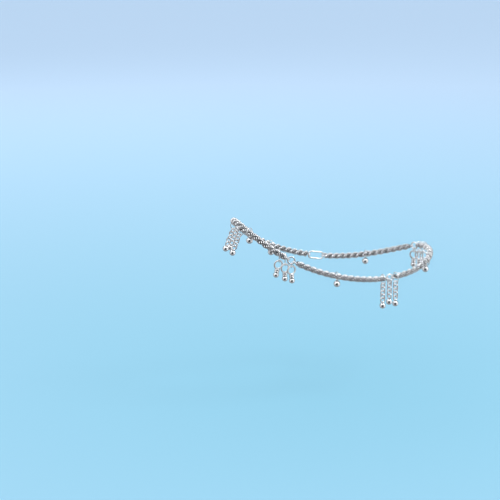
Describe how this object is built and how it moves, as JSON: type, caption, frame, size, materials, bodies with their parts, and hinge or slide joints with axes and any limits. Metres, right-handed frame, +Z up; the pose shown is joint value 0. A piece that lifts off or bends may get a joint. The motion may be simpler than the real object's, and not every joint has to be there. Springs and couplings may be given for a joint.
{
  "type": "payal anklet",
  "caption": "Silver payal anklet: a rope chain loop shaped as worn round an ankle, with ball drops, ring drops and chain tassels hanging from it.",
  "frame": {"origin": "middle of the ankle opening, at the level of the loop's middle height, where the ankle holds the anklet", "axes": "+X from the instep to the heel, -Y to the outer side of the foot, +Z up the leg"},
  "size_m": [0.1062, 0.0541, 0.0453],
  "materials": {
    "chain_silver": "bright silver chain, darker between its links",
    "polished_silver": "polished silver"
  },
  "bodies": {
    "root": {"rope_length_1": "chain_silver", "rope_length_2": "chain_silver", "rope_length_3": "chain_silver", "rope_length_4": "chain_silver", "rope_length_5": "chain_silver", "tassel_1_side_strand_1": "chain_silver", "tassel_1_side_strand_2": "chain_silver", "tassel_1_middle_strand": "chain_silver", "tassel_2_side_strand_1": "chain_silver", "tassel_2_side_strand_2": "chain_silver", "tassel_2_middle_strand": "chain_silver", "joining_ring_1": "polished_silver", "joining_ring_2": "polished_silver", "joining_ring_3": "polished_silver", "joining_ring_4": "polished_silver", "clasp": "polished_silver", "ball_drop_1": "polished_silver", "ball_drop_2": "polished_silver", "ball_drop_3": "polished_silver", "ball_drop_4": "polished_silver", "ball_drop_5": "polished_silver", "ring_cluster_1_bail_1": "polished_silver", "ring_cluster_1_drop_1": "polished_silver", "ring_cluster_1_bail_2": "polished_silver", "ring_cluster_1_drop_2": "polished_silver", "ring_cluster_1_bail_3": "polished_silver", "ring_cluster_1_drop_3": "polished_silver", "ring_cluster_2_bail_1": "polished_silver", "ring_cluster_2_drop_1": "polished_silver", "ring_cluster_2_bail_2": "polished_silver", "ring_cluster_2_drop_2": "polished_silver", "ring_cluster_2_bail_3": "polished_silver", "ring_cluster_2_drop_3": "polished_silver", "tassel_1_bail_1": "polished_silver", "tassel_1_bail_2": "polished_silver", "tassel_2_bail_1": "polished_silver", "tassel_2_bail_2": "polished_silver"}
  },
  "joints": []
}
